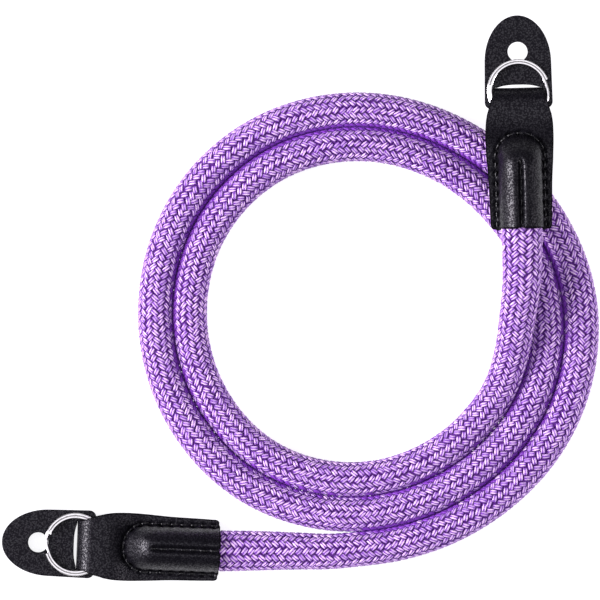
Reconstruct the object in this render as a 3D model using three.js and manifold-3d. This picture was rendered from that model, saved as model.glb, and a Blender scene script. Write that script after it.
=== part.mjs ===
// A rope camera strap lying coiled on a table.
//
// About one metre of braided rope is wound clockwise into a flat coil. Each end of the rope is
// stitched into a folded leather end piece. The fold carries a split ring, and a leather flap that
// keeps the ring off the camera body. End A lies on the table, end B lies across the coil.
// Millimetres, +Z up, the table at Z = 0.

import * as THREE from 'three';
import { mergeVertices } from 'three/addons/utils/BufferGeometryUtils.js';
import Module from 'manifold-3d';

const wasm = await Module();
wasm.setup();

// ---------------------------------------------------------------- driving dimensions

const GAP = 0.3; // running gap between pieces that touch
const LEATHER = 1.4; // thickness of one layer of leather

const ROPE = {
  radius: 5,
  sides: 12,
  steps: 80,
  squeezeWide: 1.1, // the end in the leather is pressed this much wider
  squeezeHigh: 0.9, // and this much flatter
  squeezedLength: 30, // length of each end that is pressed
  relaxLength: 16, // length over which it grows round again
};

// The coil, from above. The rope runs clockwise from end B, and a row gives the radius of its
// centreline where it has turned that many degrees from +X: on the first and second turns, and
// then on the third, which leaves the coil.
const COIL = { x: 22.7, y: -2.9, firstAngle: 50, lastAngle: 810, step: 10, rowAngle: 30 };
const FULL_TURNS = [
  { turned: 0, first: 49.0, second: 57.4 },
  { turned: 30, first: 49.85, second: 60.2 },
  { turned: 60, first: 50.6, second: 60.9 },
  { turned: 90, first: 51.45, second: 61.85 },
  { turned: 120, first: 51.7, second: 62.1 },
  { turned: 150, first: 50.5, second: 60.9 },
  { turned: 180, first: 49.45, second: 59.75 },
  { turned: 210, first: 49.2, second: 59.45 },
  { turned: 240, first: 49.2, second: 59.4 },
  { turned: 270, first: 49.25, second: 59.45 },
  { turned: 300, first: 50.15, second: 60.4 },
  { turned: 330, first: 52.8, second: 63.25 },
];
const LAST_TURN = [
  { turned: 720, third: 67.75 },
  { turned: 750, third: 70.5 },
  { turned: 780, third: 71.25 },
  { turned: 810, third: 72.45 },
  { turned: 840, third: 76.5 },
  { turned: 870, third: 84.3 },
];

// From end B the rope comes down off the coil before it joins the first turn.
const DOWN_FROM_B = [
  { x: 72.75, y: 16.0, z: 18.7 },
  { x: 72.8, y: 10.8, z: 18.1 },
  { x: 72.6, y: 4.9, z: 16.7 },
  { x: 72.05, y: -1.1, z: 14.7 },
  { x: 71.25, y: -7.1, z: 12.4 },
  { x: 70.35, y: -13.4, z: 10.0 },
  { x: 68.95, y: -19.8, z: 7.8 },
  { x: 66.0, y: -27.8, z: 5.9 },
  { x: 61.15, y: -35.05, z: 5.1 },
];

// After the third turn it runs straight to end A.
const ALONG_TO_A = [
  { x: 14.8, y: -75.95, z: 5.0 },
  { x: 7.3, y: -75.85, z: 5.1 },
  { x: -0.2, y: -75.75, z: 5.35 },
  { x: -7.7, y: -75.7, z: 5.75 },
  { x: -13.4, y: -75.75, z: 6.1 },
];

// One folded leather end, in its own frame: +X from the fold towards the rope, +Z up,
// the outside of the fold at X = 0 and the underside at Z = 0.
const END = {
  length: 42.3,
  ropeHeight: 6.25, // height of the rope's axis inside
  ropeInside: 20.8, // length of rope held inside
  cornerRadius: 1.2,
};
const END_OUTLINE = [
  { along: 0, halfWidth: 7.35 },
  { along: 2, halfWidth: 7.6 },
  { along: 4.2, halfWidth: 8.45 },
  { along: 6.3, halfWidth: 9.05 },
  { along: 10.3, halfWidth: 9.95 },
  { along: 15, halfWidth: 10.2 },
  { along: 20, halfWidth: 10.05 },
  { along: 28, halfWidth: 9.55 },
  { along: 37, halfWidth: 9.3 },
  { along: 42.3, halfWidth: 9.1 },
];

const FLAP = {
  bottom: LEATHER + GAP,
  tip: -21.7,
  shoulder: -7.5, // where the round tip meets the straight sides
  shoulderHalfWidth: 9.8,
  tail: 6.3,
  tailHalfWidth: 10.05,
  cornerRadius: 2,
  holeAt: -10.8,
  holeRadius: 3.1,
  slitFrom: -0.3,
  slitTo: 1.9,
  slitBow: 0.8, // the slit gapes this much more at its middle
  slitHalfLength: 7.9,
};

const RING = {
  radius: 8.72, // to the middle of the wire
  wire: 1.05,
  turnPitch: 1.1,
  stepHalfAngle: 20, // half the stretch where the wire steps up to its second turn
  sides: 8,
  steps: 64,
};
RING.bottom = FLAP.bottom + LEATHER + GAP;
RING.top = RING.bottom + RING.turnPitch + RING.wire;

// The fold's loop stands over the flap and the ring, then the front layer comes down to the back one.
const LOOP = {
  top: RING.top + GAP + LEATHER,
  outerRound: 3.2,
  heelRound: 1.7,
  innerEnd: 10.5,
  innerToe: 12.5,
  outerEnd: 10.9,
  outerToe: 13.7,
};

// The dome that the front layer makes over the rope's end, with a groove sewn down its middle.
const DOME = {
  nose: 13.9,
  full: 20.6, // where it reaches its full width and height
  halfWidth: 7.3,
  rise: 9.9,
  squareness: 2.4, // exponent of the section, 2 is an ellipse
  grooveFrom: 22.6,
  grooveDepth: 0.6,
  grooveHalfWidth: 1.1,
  pointsAcross: 20,
};
const POCKET = {
  halfWidth: 6,
  halfHeight: 4.95,
  sides: 16,
  sections: [
    { along: 16.5, scale: 0.45 },
    { along: 19.3, scale: 0.9 },
    { along: 21, scale: 1 },
    { along: 43.3, scale: 1 },
  ],
};

// Where the two ends lie. `exit` is the middle of the edge that the rope leaves by.
// In the end's own frame, `ringAt` is the split ring's centre, `ringStep` is how far round from +X its
// wire steps up, and `flapShift` is how far the flap has slid along the fold that it hangs on.
const END_A = {
  name: 'end_a', exit: { x: -18.4, y: -75.7 }, foldHeight: 0, bearing: -2.3, pitch: 0,
  ringAt: { along: -0.4, across: 0.1 }, ringStep: 180, flapShift: { along: -0.8, across: 0.3 },
};
const END_B = {
  name: 'end_b', exit: { x: 72.65, y: 20.8 }, foldHeight: 8.8, bearing: -88.8, pitch: 5,
  ringAt: { along: 1.05, across: 0 }, ringStep: 90, flapShift: { along: 0, across: 0 },
};

// ---------------------------------------------------------------- materials

const ropeFabric = new THREE.MeshStandardMaterial({ color: 0xa673cf, roughness: 0.8, metalness: 0 });
const blackLeather = new THREE.MeshStandardMaterial({ color: 0x1c1b1f, roughness: 0.55, metalness: 0 });
const ringSteel = new THREE.MeshStandardMaterial({ color: 0xd4d4d6, roughness: 0.2, metalness: 1 });

// ---------------------------------------------------------------- solids

const radians = THREE.MathUtils.degToRad;

function toSolid(geometry) {
  geometry.deleteAttribute('normal');
  geometry.deleteAttribute('uv');
  const merged = mergeVertices(geometry, 1e-4);
  return new wasm.Manifold(new wasm.Mesh({
    numProp: 3,
    vertProperties: new Float32Array(merged.attributes.position.array),
    triVerts: new Uint32Array(merged.index.array),
  }));
}

function toGeometry(solid) {
  const mesh = solid.getMesh();
  const geometry = new THREE.BufferGeometry();
  geometry.setAttribute('position', new THREE.BufferAttribute(mesh.vertProperties, 3));
  geometry.setIndex(new THREE.BufferAttribute(mesh.triVerts, 1));
  geometry.computeVertexNormals();
  return geometry;
}

function prism(shape, height, curveSegments = 8) {
  return new THREE.ExtrudeGeometry(shape, { depth: height, steps: 1, bevelEnabled: false, curveSegments });
}

// A side view drawn in X and Z, swept across the whole width in Y.
function sweptAcross(sideView, width) {
  return prism(sideView, width).rotateX(Math.PI / 2).translate(0, width / 2, 0);
}

// A closed skin through sections with equal numbers of points, each seen from +X and
// running counter-clockwise, with both ends closed round their middles.
function loft(sections) {
  const count = sections[0].length;
  const positions = sections.flat().flatMap((p) => [p.x, p.y, p.z]);
  const index = [];
  for (let s = 0; s + 1 < sections.length; s += 1) {
    for (let k = 0; k < count; k += 1) {
      const next = (k + 1) % count;
      const [a, b] = [s * count + k, s * count + next];
      const [c, d] = [a + count, b + count];
      index.push(a, b, c, b, d, c);
    }
  }
  for (const [section, first] of [[sections[0], 0], [sections.at(-1), (sections.length - 1) * count]]) {
    const middle = section.reduce((sum, p) => sum.add(p), new THREE.Vector3()).divideScalar(count);
    const hub = positions.length / 3;
    positions.push(middle.x, middle.y, middle.z);
    for (let k = 0; k < count; k += 1) {
      const [a, b] = [first + k, first + ((k + 1) % count)];
      index.push(hub, ...(first === 0 ? [b, a] : [a, b]));
    }
  }
  const geometry = new THREE.BufferGeometry();
  geometry.setAttribute('position', new THREE.Float32BufferAttribute(positions, 3));
  geometry.setIndex(index);
  return geometry;
}

// ---------------------------------------------------------------- rope

function coilRadius(turned) {
  const radii = [
    ...FULL_TURNS.map((row) => row.first),
    ...FULL_TURNS.map((row) => row.second),
    ...LAST_TURN.map((row) => row.third),
  ];
  const row = Math.floor(turned / COIL.rowAngle);
  const t = turned / COIL.rowAngle - row;
  const [before, from, to, after] = radii.slice(row - 1, row + 3);
  const slopeFrom = (to - before) / 2;
  const slopeTo = (after - from) / 2;
  return from * (2 * t ** 3 - 3 * t ** 2 + 1) + slopeFrom * (t ** 3 - 2 * t ** 2 + t)
    + to * (3 * t ** 2 - 2 * t ** 3) + slopeTo * (t ** 3 - t ** 2);
}

function coilPoints() {
  const points = [];
  for (let turned = COIL.firstAngle; turned <= COIL.lastAngle; turned += COIL.step) {
    const radius = coilRadius(turned);
    const angle = radians(-turned);
    points.push(new THREE.Vector3(
      COIL.x + radius * Math.cos(angle), COIL.y + radius * Math.sin(angle), ROPE.radius));
  }
  return points;
}

function endMatrix(end) {
  const matrix = new THREE.Matrix4().makeRotationFromEuler(
    new THREE.Euler(0, radians(-end.pitch), radians(end.bearing), 'ZYX'));
  const reach = new THREE.Vector3(END.length, 0, 0).applyMatrix4(matrix);
  return matrix.setPosition(end.exit.x - reach.x, end.exit.y - reach.y, end.foldHeight);
}

// The straight stretch of rope inside an end piece, from its cut end outwards.
function ropeInside(end) {
  const places = [END.length - END.ropeInside, END.length - END.ropeInside / 2, END.length];
  return places.map((x) => new THREE.Vector3(x, 0, END.ropeHeight).applyMatrix4(endMatrix(end)));
}

function ropeRoute() {
  const vector = (p) => new THREE.Vector3(p.x, p.y, p.z);
  return new THREE.CatmullRomCurve3([
    ...ropeInside(END_B),
    ...DOWN_FROM_B.map(vector),
    ...coilPoints(),
    ...ALONG_TO_A.map(vector),
    ...ropeInside(END_A).reverse(),
  ], false, 'centripetal');
}

// Leather presses the rope's ends wider and flatter.
function pressEnds(geometry, route) {
  const centres = route.getSpacedPoints(ROPE.steps);
  const tangents = centres.map((_, k) => route.getTangentAt(k / ROPE.steps));
  const stepLength = route.getLength() / ROPE.steps;
  const position = geometry.attributes.position;
  const vertex = new THREE.Vector3();
  for (let i = 0; i < position.count; i += 1) {
    vertex.fromBufferAttribute(position, i);
    const distances = centres.map((c) => c.distanceToSquared(vertex));
    const ring = distances.indexOf(Math.min(...distances));
    const fromEnd = Math.min(ring, ROPE.steps - ring) * stepLength;
    const pressed = THREE.MathUtils.smoothstep(
      ROPE.squeezedLength + ROPE.relaxLength - fromEnd, 0, ROPE.relaxLength);
    const across = new THREE.Vector3(0, 0, 1).cross(tangents[ring]).normalize();
    const up = tangents[ring].clone().cross(across);
    const offset = vertex.clone().sub(centres[ring]);
    const [wide, high] = [offset.dot(across), offset.dot(up)];
    vertex.addScaledVector(across, wide * (ROPE.squeezeWide - 1) * pressed);
    vertex.addScaledVector(up, high * (ROPE.squeezeHigh - 1) * pressed);
    position.setXYZ(i, vertex.x, vertex.y, vertex.z);
  }
}

function makeRope() {
  const section = new THREE.Shape();
  section.absarc(0, 0, ROPE.radius, 0, 2 * Math.PI);
  const route = ropeRoute();
  const geometry = new THREE.ExtrudeGeometry(section, {
    extrudePath: route, steps: ROPE.steps, curveSegments: ROPE.sides / 2, bevelEnabled: false,
  });
  pressEnds(geometry, route);
  const rope = new THREE.Mesh(geometry, ropeFabric);
  rope.name = 'rope';
  return rope;
}

// ---------------------------------------------------------------- leather end piece

function outlineFromAbove() {
  const edge = END_OUTLINE.map((row) => new THREE.Vector2(row.along, row.halfWidth));
  const corner = edge.at(-1).clone().subScalar(END.cornerRadius);
  const shape = new THREE.Shape();
  shape.moveTo(edge[0].x, edge[0].y);
  shape.splineThru([...edge.slice(1, -1), new THREE.Vector2(corner.x, edge.at(-1).y)]);
  shape.absarc(corner.x, corner.y, END.cornerRadius, Math.PI / 2, 0, true);
  shape.absarc(corner.x, -corner.y, END.cornerRadius, 0, -Math.PI / 2, true);
  shape.splineThru(edge.slice(0, -1).reverse().map((p) => new THREE.Vector2(p.x, -p.y)));
  return shape;
}

function layersFromSide() {
  const shape = new THREE.Shape();
  shape.moveTo(END.length, 0);
  shape.lineTo(END.length, 2 * LEATHER);
  shape.lineTo(LOOP.outerToe, 2 * LEATHER);
  shape.lineTo(LOOP.outerEnd, LOOP.top);
  shape.absarc(LOOP.outerRound, LOOP.top - LOOP.outerRound, LOOP.outerRound, Math.PI / 2, Math.PI, false);
  shape.absarc(LOOP.heelRound, LOOP.heelRound, LOOP.heelRound, Math.PI, 1.5 * Math.PI, false);
  return shape;
}

function loopFromSide() {
  const innerRound = LOOP.outerRound - LEATHER;
  const shape = new THREE.Shape();
  shape.moveTo(LOOP.innerToe, LEATHER);
  shape.lineTo(LOOP.innerEnd, LOOP.top - LEATHER);
  shape.absarc(
    LEATHER + innerRound, LOOP.top - LEATHER - innerRound, innerRound, Math.PI / 2, Math.PI, false);
  shape.lineTo(LEATHER, LEATHER);
  return shape;
}

function domeSection(along) {
  const toFull = Math.max(0, DOME.full - along);
  const climb = (start) => Math.sqrt(Math.max(0, 1 - (toFull / (DOME.full - start)) ** 2));
  const halfWidth = DOME.halfWidth * climb(DOME.nose - GAP);
  const rise = DOME.rise * climb(DOME.nose);
  const groove = along > DOME.grooveFrom ? DOME.grooveDepth : 0;
  const points = [];
  for (let k = 0; k <= DOME.pointsAcross; k += 1) {
    const across = -Math.cos((Math.PI * k) / DOME.pointsAcross);
    const arch = (1 - Math.abs(across) ** DOME.squareness) ** (1 / DOME.squareness);
    const sunk = groove * Math.exp(-((across * halfWidth / DOME.grooveHalfWidth) ** 2));
    points.push(new THREE.Vector3(along, -across * halfWidth, 2 * LEATHER + rise * arch - sunk));
  }
  points.push(new THREE.Vector3(along, -halfWidth, LEATHER), new THREE.Vector3(along, halfWidth, LEATHER));
  return points;
}

function makeDome() {
  const stations = [];
  for (let k = 0; k <= 6; k += 1) {
    stations.push(DOME.full - (DOME.full - DOME.nose) * Math.cos((Math.PI / 2) * (k / 6)));
  }
  return loft([...stations, DOME.grooveFrom, DOME.grooveFrom + 1.2, END.length].map(domeSection));
}

function makePocket() {
  return loft(POCKET.sections.map(({ along, scale }) => {
    const points = [];
    for (let k = 0; k < POCKET.sides; k += 1) {
      const angle = (2 * Math.PI * k) / POCKET.sides;
      points.push(new THREE.Vector3(
        along,
        POCKET.halfWidth * scale * Math.cos(angle),
        END.ropeHeight + POCKET.halfHeight * scale * Math.sin(angle),
      ));
    }
    return points;
  }));
}

function leatherGeometry() {
  const wide = 30;
  const outline = toSolid(prism(outlineFromAbove(), LOOP.top, 4));
  return toGeometry(outline
    .intersect(toSolid(sweptAcross(layersFromSide(), wide)))
    .subtract(toSolid(sweptAcross(loopFromSide(), wide)))
    .add(toSolid(makeDome()))
    .subtract(toSolid(makePocket())));
}

// ---------------------------------------------------------------- flap and ring

// The flap slides, but its slit stays round the folded strip.
function flapGeometry(shift) {
  const f = FLAP;
  const corner = { along: f.tail - f.cornerRadius, across: f.tailHalfWidth - f.cornerRadius };
  const outline = new THREE.Shape();
  outline.moveTo(f.shoulder, f.shoulderHalfWidth);
  outline.absellipse(
    f.shoulder, 0, f.shoulder - f.tip, f.shoulderHalfWidth, Math.PI / 2, 1.5 * Math.PI, false, 0);
  outline.absarc(corner.along, -corner.across, f.cornerRadius, -Math.PI / 2, 0, false);
  outline.absarc(corner.along, corner.across, f.cornerRadius, 0, Math.PI / 2, false);
  const hole = new THREE.Path();
  hole.absarc(f.holeAt, 0, f.holeRadius, 0, 2 * Math.PI, true);
  const slit = new THREE.Path();
  const nearEdge = f.slitTo - shift.along;
  const farEdge = f.slitFrom - shift.along;
  const right = -f.slitHalfLength - shift.across;
  const left = f.slitHalfLength - shift.across;
  slit.moveTo(nearEdge, right);
  slit.lineTo(farEdge, right);
  slit.quadraticCurveTo(farEdge - 2 * f.slitBow, -shift.across, farEdge, left);
  slit.lineTo(nearEdge, left);
  outline.holes.push(hole, slit);
  return prism(outline, LEATHER, 16).translate(shift.along, shift.across, f.bottom);
}

// The wire of a split ring: a turn below, a step up, and a turn above.
class SplitRingWire extends THREE.Curve {
  getPoint(t, target = new THREE.Vector3()) {
    const start = RING.stepHalfAngle;
    const turned = start + t * (720 - 2 * start);
    const climbed = THREE.MathUtils.smoothstep(turned, 360 - start, 360 + start);
    const angle = radians(turned);
    return target.set(
      RING.radius * Math.cos(angle), RING.radius * Math.sin(angle), (climbed - 0.5) * RING.turnPitch);
  }
}

function ringGeometry() {
  const section = new THREE.Shape();
  section.absarc(0, 0, RING.wire / 2, 0, 2 * Math.PI);
  return new THREE.ExtrudeGeometry(section, {
    extrudePath: new SplitRingWire(), steps: RING.steps, curveSegments: RING.sides / 2, bevelEnabled: false,
  });
}

function makeEnd(end) {
  const leather = new THREE.Mesh(leatherGeometry(), blackLeather.clone());
  leather.name = `${end.name}_leather`;
  const flap = new THREE.Mesh(flapGeometry(end.flapShift), blackLeather.clone());
  flap.name = `${end.name}_flap`;
  const ring = new THREE.Mesh(ringGeometry(), ringSteel.clone());
  ring.name = `${end.name}_ring`;
  ring.position.set(end.ringAt.along, end.ringAt.across, (RING.bottom + RING.top) / 2);
  ring.rotation.z = radians(end.ringStep);
  const group = new THREE.Group();
  group.add(leather, flap, ring);
  group.applyMatrix4(endMatrix(end));
  return group;
}

// ---------------------------------------------------------------- the strap

const strap = new THREE.Group();
strap.add(makeRope(), makeEnd(END_A), makeEnd(END_B));

export default strap;
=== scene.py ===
"""A rope camera strap lying coiled on a pale floor, laid out as a Blender add-on.

The rope is a core tube under a braided cover. Each end of it is sewn into a folded leather end
piece, whose fold carries a split ring and a protector flap. Lengths are in metres.
"""

import math

import bmesh
import bpy
import numpy as np
from mathutils import Matrix, Vector, noise
from mathutils.bvhtree import BVHTree


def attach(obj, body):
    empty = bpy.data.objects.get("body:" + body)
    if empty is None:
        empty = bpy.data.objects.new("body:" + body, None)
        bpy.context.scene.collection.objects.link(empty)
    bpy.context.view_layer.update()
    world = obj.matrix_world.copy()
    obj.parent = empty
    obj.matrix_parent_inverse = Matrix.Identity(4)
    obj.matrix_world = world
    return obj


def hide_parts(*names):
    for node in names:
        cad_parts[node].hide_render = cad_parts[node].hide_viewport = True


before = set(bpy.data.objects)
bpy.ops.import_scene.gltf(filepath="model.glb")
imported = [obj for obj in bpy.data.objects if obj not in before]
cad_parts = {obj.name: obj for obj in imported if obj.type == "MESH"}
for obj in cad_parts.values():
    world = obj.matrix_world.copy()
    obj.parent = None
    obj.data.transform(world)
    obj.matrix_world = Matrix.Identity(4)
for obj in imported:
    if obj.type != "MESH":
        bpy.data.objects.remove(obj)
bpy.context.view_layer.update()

bl_info = {
    "name": "Rope Camera Strap",
    "version": (1, 0, 0),
    "blender": (4, 5, 0),
    "location": "3D View > Sidebar > Strap",
    "description": "Builds a braided rope camera strap with leather ends around its CAD frame",
    "category": "Object",
}

MM = 0.001
BAKE_MAP = "OFBake"


# ---------------------------------------------------------------- the strap's sizes


def rgb(red, green, blue):
    """A linear colour from the usual 0 to 255 steps."""
    steps = (red / 255, green / 255, blue / 255)
    return tuple(c / 12.92 if c <= 0.04045 else ((c + 0.055) / 1.055) ** 2.4 for c in steps) + (1.0,)


# The coil, from above. The rope runs clockwise from end B, and a row gives the radius of its
# centreline where it has turned that many degrees from +X.
COIL_CENTRE = (0.0227, -0.0029)
COIL_HEIGHT = 0.005
COIL_FIRST, COIL_LAST, COIL_STEP = 50, 810, 10
FULL_TURNS = {
    "turned": (0, 30, 60, 90, 120, 150, 180, 210, 240, 270, 300, 330),
    "first": (
        0.0490, 0.04985, 0.0506, 0.05145, 0.0517, 0.0505, 0.04945, 0.0492, 0.0492, 0.04925, 0.05015, 0.0528),
    "second": (
        0.0574, 0.0602, 0.0609, 0.06185, 0.0621, 0.0609, 0.05975, 0.05945, 0.0594, 0.05945, 0.0604, 0.06325),
}
LAST_TURN = {
    "turned": (720, 750, 780, 810, 840, 870),
    "third": (0.06775, 0.0705, 0.07125, 0.07245, 0.0765, 0.0843),
}

# From end B the rope comes down off the coil, and after the third turn it runs to end A.
DOWN_FROM_B = (
    (0.07275, 0.0160, 0.0187),
    (0.07280, 0.0108, 0.0181),
    (0.07260, 0.0049, 0.0167),
    (0.07205, -0.0011, 0.0147),
    (0.07125, -0.0071, 0.0124),
    (0.07035, -0.0134, 0.0100),
    (0.06895, -0.0198, 0.0078),
    (0.06600, -0.0278, 0.0059),
    (0.06115, -0.03505, 0.0051),
)
ALONG_TO_A = (
    (0.0148, -0.07595, 0.00500),
    (0.0073, -0.07585, 0.00510),
    (-0.0002, -0.07575, 0.00535),
    (-0.0077, -0.07570, 0.00575),
    (-0.0134, -0.07575, 0.00610),
)
ROUTE_STEP = 1 * MM

# One leather end in its own frame: +X from the fold towards the rope, +Z up.
END_LENGTH = 0.0423
ROPE_HEIGHT = 0.00625
ROPE_INSIDE = 0.0208
END_OUTLINE = {
    "along": (0, 0.002, 0.0042, 0.0063, 0.0103, 0.015, 0.020, 0.028, 0.037, 0.0423),
    "half_width": (
        0.00735, 0.0076, 0.00845, 0.00905, 0.00995, 0.0102, 0.01005, 0.00955, 0.0093, 0.0091),
}
ENDS = {
    "end_a": {
        "exit": (-0.0184, -0.0757), "fold_height": 0.0, "bearing": -2.3, "pitch": 0.0,
        "ring_body": "ring_a", "ring_at": (-0.0004, 0.0001), "ring_step": 180,
        "flap_shift": (-0.0008, 0.0003),
    },
    "end_b": {
        "exit": (0.07265, 0.0208), "fold_height": 0.0088, "bearing": -88.8, "pitch": 5.0,
        "ring_body": "ring_b", "ring_at": (0.00105, 0.0), "ring_step": 90,
        "flap_shift": (0.0, 0.0),
    },
}


def place(name, description, default, **limits):
    """A property that holds a place along an axis, in metres."""
    return bpy.props.FloatProperty(
        name=name, description=description, default=default, precision=5, unit="LENGTH", **limits)


def length(name, description, default):
    """A property that holds a length in metres."""
    return place(name, description, default, min=0.0)


def colour(name, description, default):
    """A property that holds a colour."""
    return bpy.props.FloatVectorProperty(
        name=name, description=description, default=default, size=4, min=0.0, max=1.0, subtype="COLOR")


def plain(name, description, default):
    """A property that holds a plain number."""
    return bpy.props.FloatProperty(name=name, description=description, default=default, precision=3)


def whole(name, description, default):
    """A property that holds a whole number."""
    return bpy.props.IntProperty(name=name, description=description, default=default, min=1)


class StrapRopeSettings(bpy.types.PropertyGroup):
    """The rope's sizes and colours."""

    radius: length("Radius", "Radius over the braid", 0.005)
    core_radius: length("Core Radius", "Radius of the tube under the braid", 0.00452)
    core_wide: plain("Core Wide", "Width of that tube over its height", 1.09)
    carriers: whole("Carriers", "Strands that wind each way", 16)
    cell_length: length("Cell Length", "Length of one diamond of the braid", 0.00207)
    float_length: length("Float Length", "Length of strand over the two that it crosses", 0.00312)
    float_width: length("Float Width", "Width of one strand", 0.00148)
    float_drop: length("Float Drop", "How far a strand dives at its float's ends", 0.00056)
    float_side: length("Float Side", "How far a strand's sides fall from its crown", 0.00036)
    yarn_groove: length("Yarn Groove", "Depth between a strand's two yarns", 0.00012)
    wander: plain("Wander", "Unevenness of the strands, as a share", 0.11)
    lying_wide: plain("Lying Wide", "Width of the rope where it lies, as a share", 1.058)
    lying_high: plain("Lying High", "Height of the rope where it lies, as a share", 0.98)
    pressed_wide: plain("Pressed Wide", "Width of the rope where leather presses it, as a share", 1.24)
    pressed_high: plain("Pressed High", "Height of the rope where leather presses it, as a share", 0.90)
    pressed_length: length("Pressed Length", "Length of each end that the leather presses", 0.019)
    relax_length: length("Relax Length", "Length over which it grows round again", 0.045)
    # Painted light on the braid: the crown colour is a painted highlight on top of each strand, and the seam
    # colour is painted shade where strands dive between their neighbours.
    crown_colour: colour("Crown Colour", "Yarn on top of a strand", rgb(243, 206, 252))
    yarn_colour: colour("Yarn Colour", "Yarn at a strand's sides", rgb(122, 56, 178))
    seam_colour: colour("Seam Colour", "Yarn down between strands", rgb(66, 14, 100))
    core_colour: colour("Core Colour", "Yarn of the tube under the braid", rgb(96, 40, 140))
    # Painted shade: a flat colour for strands in the crevice between two turns, out to the reach below.
    pinched_colour: colour("Pinched Colour", "Yarn squeezed between two turns", rgb(130, 60, 184))
    pinched_reach: length("Pinched Reach", "How near another turn's middle a strand is squeezed", 0.0059)


class StrapLeatherSettings(bpy.types.PropertyGroup):
    """The leather's sizes and finish."""

    thickness: length("Thickness", "Thickness of one layer", 0.0014)
    edge_round: length("Edge Rounding", "How far the cut edge bulges", 0.00035)
    dome_nose: length("Dome Nose", "Where the dome over the rope starts", 0.0139)
    dome_full: length("Dome Full", "Where it reaches its full width", 0.0206)
    dome_top: length("Dome Top", "Where it reaches its full height", 0.0240)
    dome_half_width: length("Dome Half Width", "From its middle to its foot", 0.0073)
    dome_rise: length("Dome Rise", "Its height over the flat front layer", 0.0099)
    groove_from: length("Groove From", "Where the sewn groove starts", 0.0228)
    groove_depth: length("Groove Depth", "Depth of the sewn groove", 0.0013)
    groove_half_width: length("Groove Half Width", "Half the width of the sewn groove", 0.00085)
    mouth_lean: length("Mouth Lean", "How much further the dome's top reaches at the mouth", 0.0009)
    grain_size: length("Grain Size", "Size of one pebble of the grain", 0.00046)
    grain_depth: length("Grain Depth", "Depth of the grain", 0.00021)
    face_colour: colour("Face Colour", "Colour of the grained face", rgb(19, 18, 23))
    edge_colour: colour("Edge Colour", "Colour of the cut edge", rgb(10, 9, 12))
    roughness: plain("Roughness", "Roughness of the face", 0.31)


class StrapStitchSettings(bpy.types.PropertyGroup):
    """The stitching."""

    pitch: length("Pitch", "From one stitch to the next", 0.00315)
    stitch: length("Stitch", "Length of thread that shows", 0.0026)
    thread: length("Thread", "Thickness of the thread", 0.00058)
    dent: length("Dent", "How far a stitch pulls the leather in", 0.00095)
    dent_width: length("Dent Width", "Half the width of that dent", 0.00055)
    thread_colour: colour("Thread Colour", "Colour of the thread", rgb(8, 8, 10))


class StrapRingSettings(bpy.types.PropertyGroup):
    """The split rings."""

    radius: length("Radius", "To the middle of the wire", 0.00866)
    wire: length("Wire", "Thickness of the wire", 0.00082)
    turn_pitch: length("Turn Pitch", "Height from one turn to the next", 0.00060)
    spread: length("Spread", "How much smaller the upper turn's radius is", 0.00078)
    step_half_angle: plain("Step Half Angle", "Half the stretch where the wire steps up, in degrees", 20.0)
    colour: colour("Colour", "Colour of the polished wire", rgb(238, 237, 235))
    roughness: plain("Roughness", "Roughness of the polish", 0.09)


class StrapFlapSettings(bpy.types.PropertyGroup):
    """The protector flaps, each in its end piece's frame."""

    bottom: length("Bottom", "Height of the flap's underside", 0.0017)
    tip: place("Tip", "Where the round tip ends", -0.0217)
    shoulder: place("Shoulder", "Where the sides start", -0.0075)
    shoulder_half_width: length("Shoulder Half Width", "Half the width at the shoulder", 0.00998)
    tail: length("Tail", "Where the square tail ends", 0.0063)
    tail_half_width: length("Tail Half Width", "Half the width at the tail", 0.01018)
    corner_radius: length("Corner Radius", "Rounding of the tail's corners", 0.002)
    hole_at: place("Hole At", "The hole's centre", -0.0108)
    hole_radius: length("Hole Radius", "Radius of the hole", 0.0030)
    slit_from: place("Slit From", "The slit's far edge", -0.00005)
    slit_to: length("Slit To", "The slit's near edge", 0.0019)
    slit_half_length: length("Slit Half Length", "Half the length of the slit", 0.0071)
    slit_bow: length("Slit Bow", "How much it gapes at its middle", 0.00085)
    bow_half_length: length("Bow Half Length", "Half the length over which it gapes", 0.0064)
    edge_round: length("Edge Rounding", "Rounding of the cut edge", 0.0002)


class StrapStageSettings(bpy.types.PropertyGroup):
    """The floor and the camera."""

    view_width: length("View Width", "Width that the camera sees at the rope", 0.180)
    view_x: place("View X", "Middle of the view", 0.00635)
    view_y: place("View Y", "Middle of the view", -0.0005)
    view_distance: length("View Distance", "Height of the camera over the rope", 4.0)
    floor_size: length("Floor Size", "Width of the floor", 14.0)
    floor_colour: colour("Floor Colour", "Colour of the floor", rgb(160, 160, 161))


# ---------------------------------------------------------------- node trees as formulas


class Result:
    """A node's result. A sum written with it becomes a node of the same tree, and is a sum on
    vectors where the result is one."""

    def __init__(self, socket):
        self.socket, self.tree = socket, socket.id_data

    def __getitem__(self, name):
        """Another result of the same node."""
        return Result(self.socket.node.outputs[name])

    def __add__(self, other):
        return maths("ADD", self, other)

    def __sub__(self, other):
        return maths("SUBTRACT", self, other)

    def __rsub__(self, other):
        return maths("SUBTRACT", other, self)

    def __mul__(self, other):
        if is_vector(self):
            return add(self.tree, "ShaderNodeVectorMath", {0: self, "Scale": other}, operation="SCALE")
        return maths("MULTIPLY", self, other)

    def __truediv__(self, other):
        return maths("DIVIDE", self, other)

    def __rtruediv__(self, other):
        return maths("DIVIDE", other, self)

    __radd__, __rmul__ = __add__, __mul__

    def ranged(self, low, high, to_low=0.0, to_high=1.0, kind="SMOOTHSTEP"):
        """This value carried from one range to another, smoothly unless kind says otherwise."""
        return add(self.tree, "ShaderNodeMapRange", {
            "Value": self, "From Min": low, "From Max": high, "To Min": to_low, "To Max": to_high,
        }, interpolation_type=kind)


def is_vector(value):
    """Whether a value is a result that holds a vector or a colour."""
    return isinstance(value, Result) and value.socket.type in ("VECTOR", "RGBA")


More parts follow.
